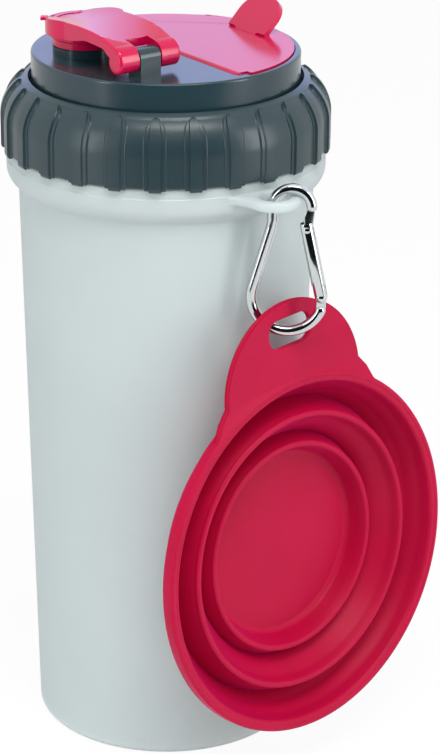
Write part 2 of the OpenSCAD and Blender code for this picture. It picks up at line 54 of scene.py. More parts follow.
def makeCamera():
    data = bpy.data.cameras.new("photoCamera")
    data.lens = camera["lens"]
    data.sensor_width = camera["sensor"]
    data.sensor_fit = "AUTO"
    ob = bpy.data.objects.new("photoCamera", data)
    bpy.context.scene.collection.objects.link(ob)
    turn = Matrix.Rotation(math.radians(-camera["heading"]), 4, "Z")
    tilt = Matrix.Rotation(math.radians(90 + camera["pitch"]), 4, "X")
    roll = Matrix.Rotation(math.radians(camera["roll"]), 4, "Z")
    ob.matrix_world = Matrix.Translation(camera["place"]) @ turn @ tilt @ roll
    bpy.context.scene.camera = ob


makeCamera()
print("camera set")


def tone(hexCode):
    # sRGB hex to linear RGBA
    parts = [int(hexCode[i:i + 2], 16) / 255 for i in (1, 3, 5)]
    return [p / 12.92 if p <= 0.04045 else ((p + 0.055) / 1.055) ** 2.4 for p in parts] + [1]


def addNode(tree, kind, inputs=None, **settings):
    # New node; an input takes a value, a socket, or a node, which stands for its first output
    node = tree.nodes.new(kind)
    for key, value in settings.items():
        setattr(node, key, value)
    entries = inputs.items() if isinstance(inputs, dict) else enumerate(inputs or [])
    for key, value in entries:
        if isinstance(value, bpy.types.Node):
            value = value.outputs[0]
        if isinstance(value, bpy.types.NodeSocket):
            tree.links.new(value, node.inputs[key])
        else:
            node.inputs[key].default_value = value
    return node


def blankMaterial(name):
    mat = bpy.data.materials.new(name)
    mat.use_nodes = True
    mat.node_tree.nodes.clear()
    return mat, mat.node_tree


def mouldedPlastic(name, base, deep, rough, grainMm, bump, specular=0.5):
    # Injection-moulded ABS: one colour that drifts a little with the wall's thickness, and a faint
    # texture from the mould that softens the edges of its reflections
    mat, tree = blankMaterial(name)
    place = addNode(tree, "ShaderNodeTexCoord").outputs["Object"]
    drift = addNode(tree, "ShaderNodeTexNoise", {"Vector": place, "Scale": 1 / (18 * mm), "Detail": 2.0})
    grain = addNode(tree, "ShaderNodeTexNoise",
                    {"Vector": place, "Scale": 1 / (grainMm * mm), "Detail": 3.0})
    colour = addNode(tree, "ShaderNodeMix", {0: drift, 6: tone(base), 7: tone(deep)}, data_type="RGBA")
    gloss = addNode(tree, "ShaderNodeMapRange",
                    {"Value": grain, "To Min": rough * 0.85, "To Max": rough * 1.2})
    relief = addNode(tree, "ShaderNodeBump", {"Height": grain, "Strength": bump, "Distance": 0.05 * mm})
    shader = addNode(tree, "ShaderNodeBsdfPrincipled",
                     {"Base Color": colour.outputs[2], "Roughness": gloss, "Normal": relief,
                      "IOR": 1.5, "Specular IOR Level": specular})
    addNode(tree, "ShaderNodeOutputMaterial", {"Surface": shader})
    return mat


def frostedPlastic(name, base, deep, rough, clear):
    # Blow-moulded polypropylene: milky, so that light comes through softly, and satin outside
    mat, tree = blankMaterial(name)
    place = addNode(tree, "ShaderNodeTexCoord").outputs["Object"]
    cloud = addNode(tree, "ShaderNodeTexNoise", {"Vector": place, "Scale": 1 / (30 * mm), "Detail": 2.0})
    grain = addNode(tree, "ShaderNodeTexNoise", {"Vector": place, "Scale": 1 / (0.8 * mm), "Detail": 2.0})
    colour = addNode(tree, "ShaderNodeMix", {0: cloud, 6: tone(base), 7: tone(deep)}, data_type="RGBA")
    relief = addNode(tree, "ShaderNodeBump", {"Height": grain, "Strength": 0.12, "Distance": 0.04 * mm})
    shader = addNode(tree, "ShaderNodeBsdfPrincipled",
                     {"Base Color": colour.outputs[2], "Normal": relief, "IOR": 1.49, "Roughness": rough,
                      "Transmission Weight": clear})
    through = addNode(tree, "ShaderNodeBsdfTranslucent", {"Color": colour.outputs[2]})
    both = addNode(tree, "ShaderNodeMixShader", [0.35, shader, through])
    addNode(tree, "ShaderNodeOutputMaterial", {"Surface": both})
    return mat


def softSilicone(name, base, deep, rough, sheen=0.0):
    # Compression-moulded silicone rubber: satin skin with a fine matt grain and a faint bloom
    mat, tree = blankMaterial(name)
    place = addNode(tree, "ShaderNodeTexCoord").outputs["Object"]
    cloud = addNode(tree, "ShaderNodeTexNoise", {"Vector": place, "Scale": 1 / (22 * mm), "Detail": 3.0})
    grain = addNode(tree, "ShaderNodeTexNoise", {"Vector": place, "Scale": 1 / (0.7 * mm), "Detail": 2.0})
    colour = addNode(tree, "ShaderNodeMix", {0: cloud, 6: tone(base), 7: tone(deep)}, data_type="RGBA")
    gloss = addNode(tree, "ShaderNodeMapRange",
                    {"Value": cloud, "To Min": rough * 0.88, "To Max": rough * 1.12})
    relief = addNode(tree, "ShaderNodeBump", {"Height": grain, "Strength": 0.25, "Distance": 0.05 * mm})
    shader = addNode(tree, "ShaderNodeBsdfPrincipled",
                     {"Base Color": colour.outputs[2], "Roughness": gloss, "Normal": relief, "IOR": 1.41,
                      "Specular IOR Level": 0.2, "Sheen Weight": sheen, "Sheen Roughness": 0.5,
                      "Sheen Tint": tone("#FF40E0")})
    addNode(tree, "ShaderNodeOutputMaterial", {"Surface": shader})
    return mat


def drawnMetal(name, base, deep, rough, streakMm):
    # Drawn steel wire and pins: fine drawing lines along Z and a little tarnish
    mat, tree = blankMaterial(name)
    place = addNode(tree, "ShaderNodeTexCoord").outputs["Object"]
    stretch = addNode(tree, "ShaderNodeMapping", {"Vector": place, "Scale": (1, 1, 0.08)})
    lines = addNode(tree, "ShaderNodeTexNoise",
                    {"Vector": stretch, "Scale": 1 / (streakMm * mm), "Detail": 2.0})
    colour = addNode(tree, "ShaderNodeMix", {0: lines, 6: tone(base), 7: tone(deep)}, data_type="RGBA")
    gloss = addNode(tree, "ShaderNodeMapRange",
                    {"Value": lines, "To Min": rough * 0.7, "To Max": rough * 1.3})
    relief = addNode(tree, "ShaderNodeBump", {"Height": lines, "Strength": 0.05, "Distance": 0.02 * mm})
    shader = addNode(tree, "ShaderNodeBsdfPrincipled",
                     {"Base Color": colour.outputs[2], "Roughness": gloss, "Normal": relief,
                      "Metallic": 1.0})
    addNode(tree, "ShaderNodeOutputMaterial", {"Surface": shader})
    return mat


# Finishes: base and deep are the two tones of one colour, lengths are real sizes in mm
finishes = {
    "bottleFrost": frostedPlastic("bottleFrost", "#E4ECEC", "#DDE6E6", rough=0.36, clear=0.22),
    "lidSatin": mouldedPlastic("lidSatin", "#22383F", "#1D3239", rough=0.2, grainMm=0.9, bump=0.03),
    "ringSatin": mouldedPlastic("ringSatin", "#24383E", "#1F3338", rough=0.3, grainMm=0.6, bump=0.1),
    "capGloss": mouldedPlastic("capGloss", "#CA0049", "#BC0041", rough=0.17, grainMm=1.2, bump=0.02,
                               specular=0.45),
    "flapGloss": mouldedPlastic("flapGloss", "#CA0049", "#BC0041", rough=0.15, grainMm=1.2, bump=0.02),
    "bowlSilicone": softSilicone("bowlSilicone", "#B60438", "#A5002E", rough=0.46, sheen=0.1),
    "sealSilicone": softSilicone("sealSilicone", "#E6E4DC", "#DBD9D0", rough=0.5),
    "hookSteel": drawnMetal("hookSteel", "#D9DCDD", "#C4C9CB", rough=0.1, streakMm=0.5),
    "pinSteel": drawnMetal("pinSteel", "#B9BCBE", "#A3A7AA", rough=0.28, streakMm=0.4),
}
print("finishes made")


def keep(ob):
    bpy.context.scene.collection.objects.link(ob)
    return ob


def cleaned(ob, merge=True):
    # Merge doubles and point the normals outward
    bm = bmesh.new()
    bm.from_mesh(ob.data)
    if merge:
        bmesh.ops.remove_doubles(bm, verts=bm.verts, dist=0.002 * mm)
    bmesh.ops.recalc_face_normals(bm, faces=bm.faces)
    bm.to_mesh(ob.data)
    bm.free()
    return ob


def smooth(ob, finish, angle):
    # Clean mesh in its finish, shaded smooth with creases sharper than the angle
    cleaned(ob)
    ob.data.materials.clear()
    ob.data.materials.append(finishes[finish])
    ob.data.shade_smooth()
    ob.data.set_sharp_from_angle(angle=math.radians(angle))
    return ob


def bake(ob):
    # Replace an object's data by what its modifiers or curve settings make
    bpy.context.view_layer.update()
    graph = bpy.context.evaluated_depsgraph_get()
    mesh = bpy.data.meshes.new_from_object(ob.evaluated_get(graph), depsgraph=graph)
    name = ob.name
    bpy.data.objects.remove(ob)
    return keep(bpy.data.objects.new(name, mesh))


def weighed(ob):
    # Flat faces shade flat and only their rounded edges turn
    mod = ob.modifiers.new("normals", "WEIGHTED_NORMAL")
    mod.keep_sharp = True
    return bake(ob)


def moved(ob, change):
    ob.data.transform(change)
    if change.to_3x3().determinant() < 0:
        ob.data.flip_normals()
    return ob


def combine(ob, tool, operation):
    # Exact boolean of two closed meshes; the second one is used up
    mod = ob.modifiers.new("combine", "BOOLEAN")
    mod.operation = operation
    mod.object = tool
    mod.solver = "EXACT"
    out = bake(ob)
    bpy.data.objects.remove(tool)
    return out


def joined(name, parts):
    # Put several meshes in one object
    bm = bmesh.new()
    for part in parts:
        bm.from_mesh(part.data)
        bpy.data.objects.remove(part)
    mesh = bpy.data.meshes.new(name)
    bm.to_mesh(mesh)
    bm.free()
    return keep(bpy.data.objects.new(name, mesh))


def rounded(corners, closed=True, fine=0.5):
    # Corners as (x, y, fillet radius); gives the outline with its fillets as short straights
    out = []
    count = len(corners)
    for i, (x, y, r) in enumerate(corners):
        if r == 0 or (not closed and i in (0, count - 1)):
            out.append((x, y))
            continue
        p = Vector((x, y))
        a = (Vector(corners[i - 1][:2]) - p).normalized()
        b = (Vector(corners[(i + 1) % count][:2]) - p).normalized()
        half = a.angle(b) / 2
        centre = p + (a + b).normalized() * (r / math.sin(half))
        first = p + a * (r / math.tan(half)) - centre
        last = p + b * (r / math.tan(half)) - centre
        start = math.atan2(first.y, first.x)
        sweep = (math.atan2(last.y, last.x) - start + math.pi) % (2 * math.pi) - math.pi
        steps = max(3, math.ceil(abs(sweep) * r / fine))
        for k in range(steps + 1):
            t = start + sweep * k / steps
            out.append((centre.x + r * math.cos(t), centre.y + r * math.sin(t)))
    return out


def arc(cx, cy, r, a0, a1, steps=24):
    return [(cx + r * math.cos(math.radians(a0 + (a1 - a0) * k / steps)),
             cy + r * math.sin(math.radians(a0 + (a1 - a0) * k / steps))) for k in range(steps + 1)]


def lathe(name, profile, turns=192):
    # Turned solid about Z from a profile of (radius, height) in mm; ends on the axis close it
    verts = []
    rows = []
    for r, z in profile:
        if r < 1e-6:
            rows.append([len(verts)] * turns)
            verts.append((0, 0, z * mm))
        else:
            rows.append(list(range(len(verts), len(verts) + turns)))
            verts += [(r * mm * math.cos(2 * math.pi * k / turns),
                       r * mm * math.sin(2 * math.pi * k / turns), z * mm) for k in range(turns)]
    loop = rows + [rows[0]] if profile[0][0] > 1e-6 else rows
    faces = []
    for a, b in zip(loop, loop[1:]):
        for k in range(turns):
            j = (k + 1) % turns
            faces.append(tuple(dict.fromkeys((a[k], a[j], b[j], b[k]))))
    mesh = bpy.data.meshes.new(name)
    mesh.from_pydata(verts, [], faces)
    return cleaned(keep(bpy.data.objects.new(name, mesh)), merge=False)


def plate(name, outlines, z0, z1, edge):
    # Flat plate with rounded edges; first outline is the rim, the rest are holes
    curve = bpy.data.curves.new(name, "CURVE")
    curve.dimensions = "2D"
    curve.fill_mode = "BOTH"
    for number, outline in enumerate(outlines):
        area = sum(a[0] * b[1] - b[0] * a[1] for a, b in zip(outline, outline[1:] + outline[:1]))
        ordered = outline if (area > 0) == (number == 0) else outline[::-1]
        spline = curve.splines.new("POLY")
        spline.points.add(len(ordered) - 1)
        for point, (x, y) in zip(spline.points, ordered):
            point.co = (x * mm, y * mm, 0, 1)
        spline.use_cyclic_u = True
    curve.extrude = ((z1 - z0) / 2 - edge) * mm
    curve.bevel_depth = edge * mm
    curve.bevel_resolution = 2
    curve.offset = -edge * mm
    ob = cleaned(bake(keep(bpy.data.objects.new(name, curve))))
    return moved(ob, Matrix.Translation((0, 0, (z0 + z1) / 2 * mm)))


def wire(name, points, radii):
    # Round bar along points in mm, with a radius at each
    curve = bpy.data.curves.new(name, "CURVE")
    curve.dimensions = "3D"
    spline = curve.splines.new("POLY")
    spline.points.add(len(points) - 1)
    for point, (x, y, z), r in zip(spline.points, points, radii):
        point.co = (x * mm, y * mm, z * mm, 1)
        point.radius = r
    curve.bevel_depth = mm
    curve.bevel_resolution = 8
    curve.use_fill_caps = True
    return bake(keep(bpy.data.objects.new(name, curve)))


def softened(node, name, width, share, segments=3, clamp=True):
    # Copy of a CAD node with rounded edges where it folds by more than 28 degrees; share gets an edge's
    # middle in mm and the normals of its two faces, and gives the part of the width that it takes
    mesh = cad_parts[node].data.copy()
    mesh.transform(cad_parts[node].matrix_world)
    ob = keep(bpy.data.objects.new(name, mesh))
    bm = bmesh.new()
    bm.from_mesh(mesh)
    bmesh.ops.remove_doubles(bm, verts=bm.verts, dist=0.004 * mm)
    bmesh.ops.dissolve_degenerate(bm, edges=bm.edges, dist=0.004 * mm)
    bmesh.ops.dissolve_limit(bm, angle_limit=math.radians(0.8), verts=bm.verts, edges=bm.edges)
    bmesh.ops.recalc_face_normals(bm, faces=bm.faces)
    weight = bm.edges.layers.float.get("bevel_weight_edge") or bm.edges.layers.float.new("bevel_weight_edge")
    for edge in bm.edges:
        if len(edge.link_faces) == 2 and edge.calc_face_angle(0) > math.radians(28):
            middle = (edge.verts[0].co + edge.verts[1].co) / 2 / mm
            edge[weight] = float(share(middle, edge.link_faces[0].normal, edge.link_faces[1].normal))
    bm.to_mesh(mesh)
    bm.free()
    mod = ob.modifiers.new("soften", "BEVEL")
    mod.limit_method = "WEIGHT"
    mod.width = width * mm
    mod.segments = segments
    mod.use_clamp_overlap = clamp
    return bake(ob)


def nodeTree(name, sockets):
    # New Geometry Nodes tree with a geometry in and out and named inputs
    tree = bpy.data.node_groups.new(name, "GeometryNodeTree")
    tree.interface.new_socket("Geometry", in_out="INPUT", socket_type="NodeSocketGeometry")
    keys = {}
    for label, kind in sockets.items():
        keys[label] = tree.interface.new_socket(label, in_out="INPUT", socket_type=kind).identifier
    tree.interface.new_socket("Geometry", in_out="OUTPUT", socket_type="NodeSocketGeometry")
    return tree, addNode(tree, "NodeGroupInput").outputs, keys


def closeTree(tree, geometry, finishSocket):
    # End a tree with Realize Instances and Set Material
    real = addNode(tree, "GeometryNodeRealizeInstances", [geometry])
    paint = addNode(tree, "GeometryNodeSetMaterial", {"Geometry": real, "Material": finishSocket})
    addNode(tree, "NodeGroupOutput", [paint])


def grow(ob, tree, keys, values, finish):
    # Run a tree on an object and keep the plain mesh
    mod = ob.modifiers.new(tree.name, "NODES")
    mod.node_group = tree
    for label, value in values.items():
        mod[keys[label]] = value
    mod[keys["Finish"]] = finishes[finish]
    return bake(ob)


def helixTree():
    # Coil of a given section: screw threads and the gate's spring
    tree, source, keys = nodeTree("coilWinding", {
        "Radius": "NodeSocketFloat", "Pitch": "NodeSocketFloat", "Turns": "NodeSocketFloat",
        "Section": "NodeSocketFloat", "Sides": "NodeSocketInt", "Finish": "NodeSocketMaterial"})
    height = addNode(tree, "ShaderNodeMath", [source["Pitch"], source["Turns"]], operation="MULTIPLY")
    coil = addNode(tree, "GeometryNodeCurveSpiral",
                   {"Resolution": 96, "Rotations": source["Turns"], "Start Radius": source["Radius"],
                    "End Radius": source["Radius"], "Height": height})
    section = addNode(tree, "GeometryNodeCurvePrimitiveCircle",
                      {"Resolution": source["Sides"], "Radius": source["Section"]})
    sweep = addNode(tree, "GeometryNodeCurveToMesh",
                    {"Curve": coil, "Profile Curve": section, "Fill Caps": True})
    closeTree(tree, sweep, source["Finish"])
    return tree, keys


coilWinding, coilKeys = helixTree()


def winding(name, coil, finish, base=Matrix()):
    # Coil from its dictionary, with its first turn at the height low
    ob = keep(bpy.data.objects.new(name, bpy.data.meshes.new(name)))
    ob = grow(ob, coilWinding, coilKeys,
              {"Radius": coil["radius"] * mm, "Pitch": coil["pitch"] * mm, "Turns": coil["turns"],
               "Section": coil["section"] * mm, "Sides": coil["sides"]}, finish)
    start = Matrix.Rotation(math.radians(coil["start"]), 4, "Z")
    return moved(ob, base @ Matrix.Translation((0, 0, coil["low"] * mm)) @ start)


# Plates are drawn flat: standing turns one upright facing -Y, and across turns one upright facing X
standing = Matrix.Rotation(math.radians(90), 4, "X")
across = Matrix.Rotation(math.radians(90), 4, "Z") @ standing

# Bottle: body, collar, neck and lug are one moulding; all sizes are in mm and angles in degrees
bottle = {"footR": 43.8, "topR": 47.5, "collarR": 51.2, "roundR": 5.7, "roundLow": 187.5, "ledge": 199.5,
          "neckR": 45.6, "mouthR": 43.8, "neckTop": 215.0, "floor": 2.4, "divider": 1.8}
lug = {"reach": 57.0, "endR": 8.3, "holeR": 4.8, "z0": 193.2, "z1": 196.5, "fillet": 8.0, "edge": 1.2,
       "rootX": 13.5, "rootY": -44.5, "insideR": 49.4}
neckThread = {"radius": 45.55, "pitch": 4.4, "turns": 2.0, "section": 1.15, "sides": 6,
              "low": 203.4, "start": 200}


def bottleProfile():
    # Outside and inside of the shell; corners are (radius, height, fillet)
    b = bottle
    outer = rounded([(0, 1.1, 0), (33.5, 1.1, 1.5), (35.8, 0, 1.5), (b["footR"], 0, 2.6),
                     (b["footR"] + 0.02, 4, 0)], closed=False)
    outer.append((b["topR"] - 0.09, 184.9))
    outer += rounded([(47.41, 185.0, 0), (47.47, 187.6, 1.2), (50.2, 188.6, 0)], closed=False)[:-1]
    outer += arc(b["collarR"] - b["roundR"], b["roundLow"] + b["roundR"], b["roundR"], -52, 0, 16)
    outer += rounded([(b["collarR"], 193.4, 0), (b["collarR"], 196.3, 0.15), (50.9, 196.6, 0.15),
                      (50.9, b["ledge"], 0.6), (b["neckR"], b["ledge"], 0.7),
                      (b["neckR"], b["neckTop"], 0.8), (b["mouthR"], b["neckTop"], 0.8)],
                     closed=False)[1:-1]
    inner = rounded([(b["mouthR"], b["neckTop"] - 1, 0), (b["mouthR"], 197.9, 1.2), (49.3, 197.7, 2),
                     (49.3, 192.0, 3.4), (45.6, 187.6, 2), (42.05, 5.2, 2), (42.0, b["floor"], 2.0),
                     (0, b["floor"], 0)], closed=False)
    return outer + inner


def makeLug():
    # Flat eye that flows into the collar, cut off where the collar is hollow
    x = lug["endR"] + lug["fillet"]
    root = math.sqrt((bottle["collarR"] + lug["fillet"]) ** 2 - x ** 2)
    left = arc(-x, -root, lug["fillet"], 60, 0, 18)
    tongue = arc(0, -lug["reach"], lug["endR"], 180, 360, 40)
    right = arc(x, -root, lug["fillet"], 180, 120, 18)
    outline = [(-lug["rootX"], lug["rootY"])] + left + tongue + right + [(lug["rootX"], lug["rootY"])]
    hole = arc(0, -lug["reach"], lug["holeR"], 0, 352, 45)
    eye = plate("lugPlate", [outline, hole], lug["z0"], lug["z1"], lug["edge"])
    hollow = [(0, 190), (lug["insideR"], 190), (lug["insideR"], 198), (0, 198)]
    return combine(eye, lathe("collarVoid", hollow, 128), "DIFFERENCE")


def makeDivider():
    # Wall between the two chambers; corners are (radius, height, fillet)
    half = rounded([(0, 2.6, 0), (42.0, 2.6, 1.4), (45.4, 187.6, 3), (48.9, 192.0, 3), (48.9, 197.6, 2),
                    (44.0, 198.4, 0.8), (44.0, 214.6, 0.3), (0, 214.6, 0)], closed=False)
    outline = half + [(-x, z) for x, z in half[::-1][1:-1]]
    return moved(plate("chamberWall", [outline], -bottle["divider"] / 2, bottle["divider"] / 2, 0.2), across)


def makeBottle():
    body = combine(lathe("bottleShell", bottleProfile(), 256), makeLug(), "UNION")
    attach(smooth(body, "bottleFrost", 30), "bottle")
    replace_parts(body, "bottle", "bottle_neck")
    wall = makeDivider()
    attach(smooth(wall, "bottleFrost", 30), "bottle")
    thread = winding("neckThread", neckThread, "bottleFrost")
    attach(smooth(thread, "bottleFrost", 50), "bottle")


makeBottle()
print("bottle made")

# Screw ring: a round shoulder on a straight wall, ribs with a bar on a broader low step
ring = {"outer": 52, "round": 13.8, "roundR": 38.2, "roundZ": 209.5, "inner": 43.8, "low": 199.9,
        "spaceR": 48, "ledge": 219.1, "ribs": 26, "turn": -87.8, "barHalf": 1.75, "stepHalf": 3.15,
        "barHigh": 0.62, "stepHigh": 0.42, "sink": 0.24, "side": 0.3, "drop": 0.3,
        "tip": 9.0, "tipStart": 2.2, "tipShape": 2.2, "tipLeast": 0.02,
        "fadeFrom": 0.03, "fadeLong": 0.35}  # shares of the rib width over which the tip rises
ringThread = {"radius": 48.05, "pitch": 4.4, "turns": 1.75, "section": 1.1, "sides": 6,
              "low": 202.6, "start": 200}


def ribTree():
    # Grip ribs raised along the normal, with soft sides; sink draws the whole outer wall in a little
    tree, source, keys = nodeTree("gripRibs", {
        "Count": "NodeSocketInt", "Turn": "NodeSocketFloat", "Bar Half Width": "NodeSocketFloat",
        "Step Half Width": "NodeSocketFloat", "Bar Height": "NodeSocketFloat",
        "Step Height": "NodeSocketFloat", "Sink": "NodeSocketFloat", "Side Width": "NodeSocketFloat",
        "Foot Drop": "NodeSocketFloat", "Finish": "NodeSocketMaterial"})
    marks = {}
    for label in ("outer", "taper", "foot"):
        marks[label] = addNode(tree, "GeometryNodeInputNamedAttribute", {"Name": label}, data_type="FLOAT")
    spot = addNode(tree, "ShaderNodeSeparateXYZ", [addNode(tree, "GeometryNodeInputPosition")]).outputs
    # Distance along the wall from the middle of the nearest rib
    step = addNode(tree, "ShaderNodeMath", [2 * math.pi, source["Count"]], operation="DIVIDE")
    half = addNode(tree, "ShaderNodeMath", [step, 0.5], operation="MULTIPLY")
    minusHalf = addNode(tree, "ShaderNodeMath", [half, -1.0], operation="MULTIPLY")
    bearing = addNode(tree, "ShaderNodeMath", [spot["Y"], spot["X"]], operation="ARCTAN2")
    angle = addNode(tree, "ShaderNodeMath", [bearing, source["Turn"]], operation="SUBTRACT")
    wrapped = addNode(tree, "ShaderNodeMath", [angle, half, minusHalf], operation="WRAP")
    away = addNode(tree, "ShaderNodeMath", [wrapped], operation="ABSOLUTE")
    xSquare = addNode(tree, "ShaderNodeMath", [spot["X"], spot["X"]], operation="MULTIPLY")
    ySquare = addNode(tree, "ShaderNodeMath", [spot["Y"], spot["Y"]], operation="MULTIPLY")
    square = addNode(tree, "ShaderNodeMath", [xSquare, ySquare], operation="ADD")
    radius = addNode(tree, "ShaderNodeMath", [square], operation="SQRT")
    gap = addNode(tree, "ShaderNodeMath", [away, radius], operation="MULTIPLY")
    # How much of the bar and of the step a point carries
    side = addNode(tree, "ShaderNodeMath", [marks["taper"], source["Side Width"]], operation="MULTIPLY")
    masks = {}
    for label in ("Bar", "Step"):
        width = addNode(tree, "ShaderNodeMath", [source[label + " Half Width"], marks["taper"]],
                        operation="MULTIPLY")
        end = addNode(tree, "ShaderNodeMath", [width, side], operation="ADD")
        masks[label] = addNode(tree, "ShaderNodeMapRange",
                               {"Value": gap, "From Min": width, "From Max": end, "To Min": 1.0,
                                "To Max": 0.0}, interpolation_type="SMOOTHSTEP")
    bar = addNode(tree, "ShaderNodeMath", [masks["Bar"], source["Bar Height"]], operation="MULTIPLY")
    low = addNode(tree, "ShaderNodeMath", [masks["Step"], source["Step Height"]], operation="MULTIPLY")
    both = addNode(tree, "ShaderNodeMath", [bar, low], operation="ADD")
    sunk = addNode(tree, "ShaderNodeMath", [both, source["Sink"]], operation="SUBTRACT")
    rise = addNode(tree, "ShaderNodeMath", [sunk, marks["outer"]], operation="MULTIPLY")
    lift = addNode(tree, "ShaderNodeVectorMath",
                   {0: addNode(tree, "GeometryNodeInputNormal"), "Scale": rise}, operation="SCALE")
    # The step's foot hangs a little below the ring's edge
    footing = addNode(tree, "ShaderNodeMath", [masks["Step"], marks["foot"]], operation="MULTIPLY")
    down = addNode(tree, "ShaderNodeMath", [footing, source["Foot Drop"]], operation="MULTIPLY")
    below = addNode(tree, "ShaderNodeMath", [down, -1.0], operation="MULTIPLY")
    drop = addNode(tree, "ShaderNodeCombineXYZ", {"Z": below})
    total = addNode(tree, "ShaderNodeVectorMath", [lift, drop], operation="ADD")
    shaped = addNode(tree, "GeometryNodeSetPosition", {"Geometry": source["Geometry"], "Offset": total})
    closeTree(tree, shaped, source["Finish"])
    return tree, keys


def ringTaper(along):
    # Share of the full rib width at a distance from the ring's upper inner edge: a bullet tip
    t = min(1, max(0, (along - ring["tipStart"]) / ring["tip"]))
    return max(ring["tipLeast"], math.sqrt(1 - (1 - t) ** ring["tipShape"]))


def ringRows():
    # Section of the ring as (radius, height, share of the ribs' rise, share of the foot's drop)
    r = ring
    low = r["low"]
    start = math.degrees(math.acos((r["inner"] + 0.35 - r["roundR"]) / r["round"]))
    rows = [(x, z, 1.0, 0.0) for x, z in arc(r["roundR"], r["roundZ"], r["round"], start, 0, 40)]
    rows += [(r["outer"], z, 1.0, 0.0) for z in np.linspace(r["roundZ"] - 0.8, low + 1.0, 9)]
    rows += [(r["outer"], low + 0.75, 1, 0.25), (r["outer"], low + 0.45, 1, 1), (51.93, low + 0.2, 1, 1),
             (51.75, low + 0.05, 1, 1), (51.5, low, 0.9, 1), (51.2, low, 0.0, 0.0),
             (r["spaceR"] + 0.4, low, 0, 0), (r["spaceR"], low + 0.4, 0, 0), (r["spaceR"], 213.6, 0, 0)]
    rows += [(x, z, 0, 0) for x, z in arc(r["roundR"], r["roundZ"], 12.5, 34, 52, 5)]
    rows += [(45.4, r["ledge"], 0, 0), (44.1, r["ledge"], 0, 0), (r["inner"], 219.4, 0, 0),
             (r["inner"], 221.7, 0, 0), (43.86, 221.93, 0, 0)]
    return rows


def ringMesh():
    # Wall whose columns crowd where bar and step end; those within the close distance narrow with the rib
    r = ring
    rows = ringRows()
    halfPitch = math.pi * r["outer"] / r["ribs"]
    close = 3.5
    cols = [0, 0.6, 1.2, 1.55, 1.75, 1.9, 2.05, 2.4, 2.8, 3.15, 3.32, 3.5, 3.8, 4.4, 5.3]
    cols = [-c for c in cols[:0:-1]] + cols + [halfPitch]
    verts = []
    marks = []
    along = 0
    for i, (x, z, outer, foot) in enumerate(rows):
        if i:
            along += math.hypot(x - rows[i - 1][0], z - rows[i - 1][1])
        k = ringTaper(along) if outer else 1.0
        strength = outer * min(1, max(0, (k - r["fadeFrom"]) / r["fadeLong"]))
        for rib in range(r["ribs"]):
            centre = math.radians(r["turn"]) + rib * 2 * math.pi / r["ribs"]
            for c in cols:
                s = abs(c)
                near = s * k
                if s > close:
                    near = close * k + (s - close) / (halfPitch - close) * (halfPitch - close * k)
                t = centre + (math.copysign(near / x, c) if c < halfPitch else math.pi / r["ribs"])
                verts.append((x * mm * math.cos(t), x * mm * math.sin(t), z * mm))
                marks.append((strength, k, foot))
    n = len(cols) * r["ribs"]
    faces = []
    for i in range(len(rows)):
        up = (i + 1) % len(rows) * n
        for j in range(n):
            side = (j + 1) % n
            faces.append((i * n + j, i * n + side, up + side, up + j))
    mesh = bpy.data.meshes.new("screwRing")
    mesh.from_pydata(verts, [], faces)
    for number, label in enumerate(("outer", "taper", "foot")):
        mesh.attributes.new(label, "FLOAT", "POINT").data.foreach_set("value", [m[number] for m in marks])
    return cleaned(keep(bpy.data.objects.new("screwRing", mesh)), merge=False)


def makeRing():
    r = ring
    tree, keys = ribTree()
    values = {"Count": r["ribs"], "Turn": math.radians(r["turn"]), "Bar Half Width": r["barHalf"] * mm,
              "Step Half Width": r["stepHalf"] * mm, "Bar Height": r["barHigh"] * mm,
              "Step Height": r["stepHigh"] * mm, "Sink": r["sink"] * mm, "Side Width": r["side"] * mm,
              "Foot Drop": r["drop"] * mm}
    ob = grow(ringMesh(), tree, keys, values, "ringSatin")
    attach(smooth(ob, "ringSatin", 50), "ring")
    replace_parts(ob, "screw_ring")
    thread = winding("ringThread", ringThread, "ringSatin")
    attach(smooth(thread, "ringSatin", 50), "ring")


makeRing()
print("ring made")

# Lid body: edge is the rounding of its upper edges, foot the low collar round the spout
lid = {"spoutX": -23.4, "spoutY": 11.0, "edge": 0.35, "edgeLow": 228.9, "edgeR": 41.6,
       "footIn": 10.6, "footOut": 12.9, "footLow": 229.9, "footPull": 1.9}


def makeLid():
    def share(p, a, b):
        return p.z > lid["edgeLow"] and math.hypot(p.x, p.y) < lid["edgeR"] and max(a.z, b.z) > -0.5

    ob = softened("lid_body", "lidBody", lid["edge"], share, 2)
    # The foot draws in towards the size of the cap's skirt
    for v in ob.data.vertices:
        dx = v.co.x - lid["spoutX"] * mm
        dy = v.co.y - lid["spoutY"] * mm
        r = math.hypot(dx, dy) / mm
        if lid["footIn"] < r < lid["footOut"] and v.co.z > lid["footLow"] * mm:
            v.co.x += dx * -lid["footPull"] / r
            v.co.y += dy * -lid["footPull"] / r
    ob = weighed(smooth(ob, "lidSatin", 34))
    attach(ob, "lid")
    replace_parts(ob, "lid_body")


makeLid()

# Spout cap: endR is its round far end, which rises a little; a lip, a skirt and a crown disc are added
cap = {"edge": 1.0, "edgeLeast": 0.15, "middleHalf": 9, "knuckleY": -17, "endY": 3, "sideLow": 236.5,
       "endLow": 241, "fadeEnd": 2, "fadeLong": 8,
       "endR": 12.5, "farRise": 0.9, "farLow": 238.6, "farStart": -5, "farLong": 16,
       "lipOut": 1.4, "lipIn": 1, "lipFrom": 137, "lipTo": 149, "lipZ0": 240.6, "lipZ1": 241.8}


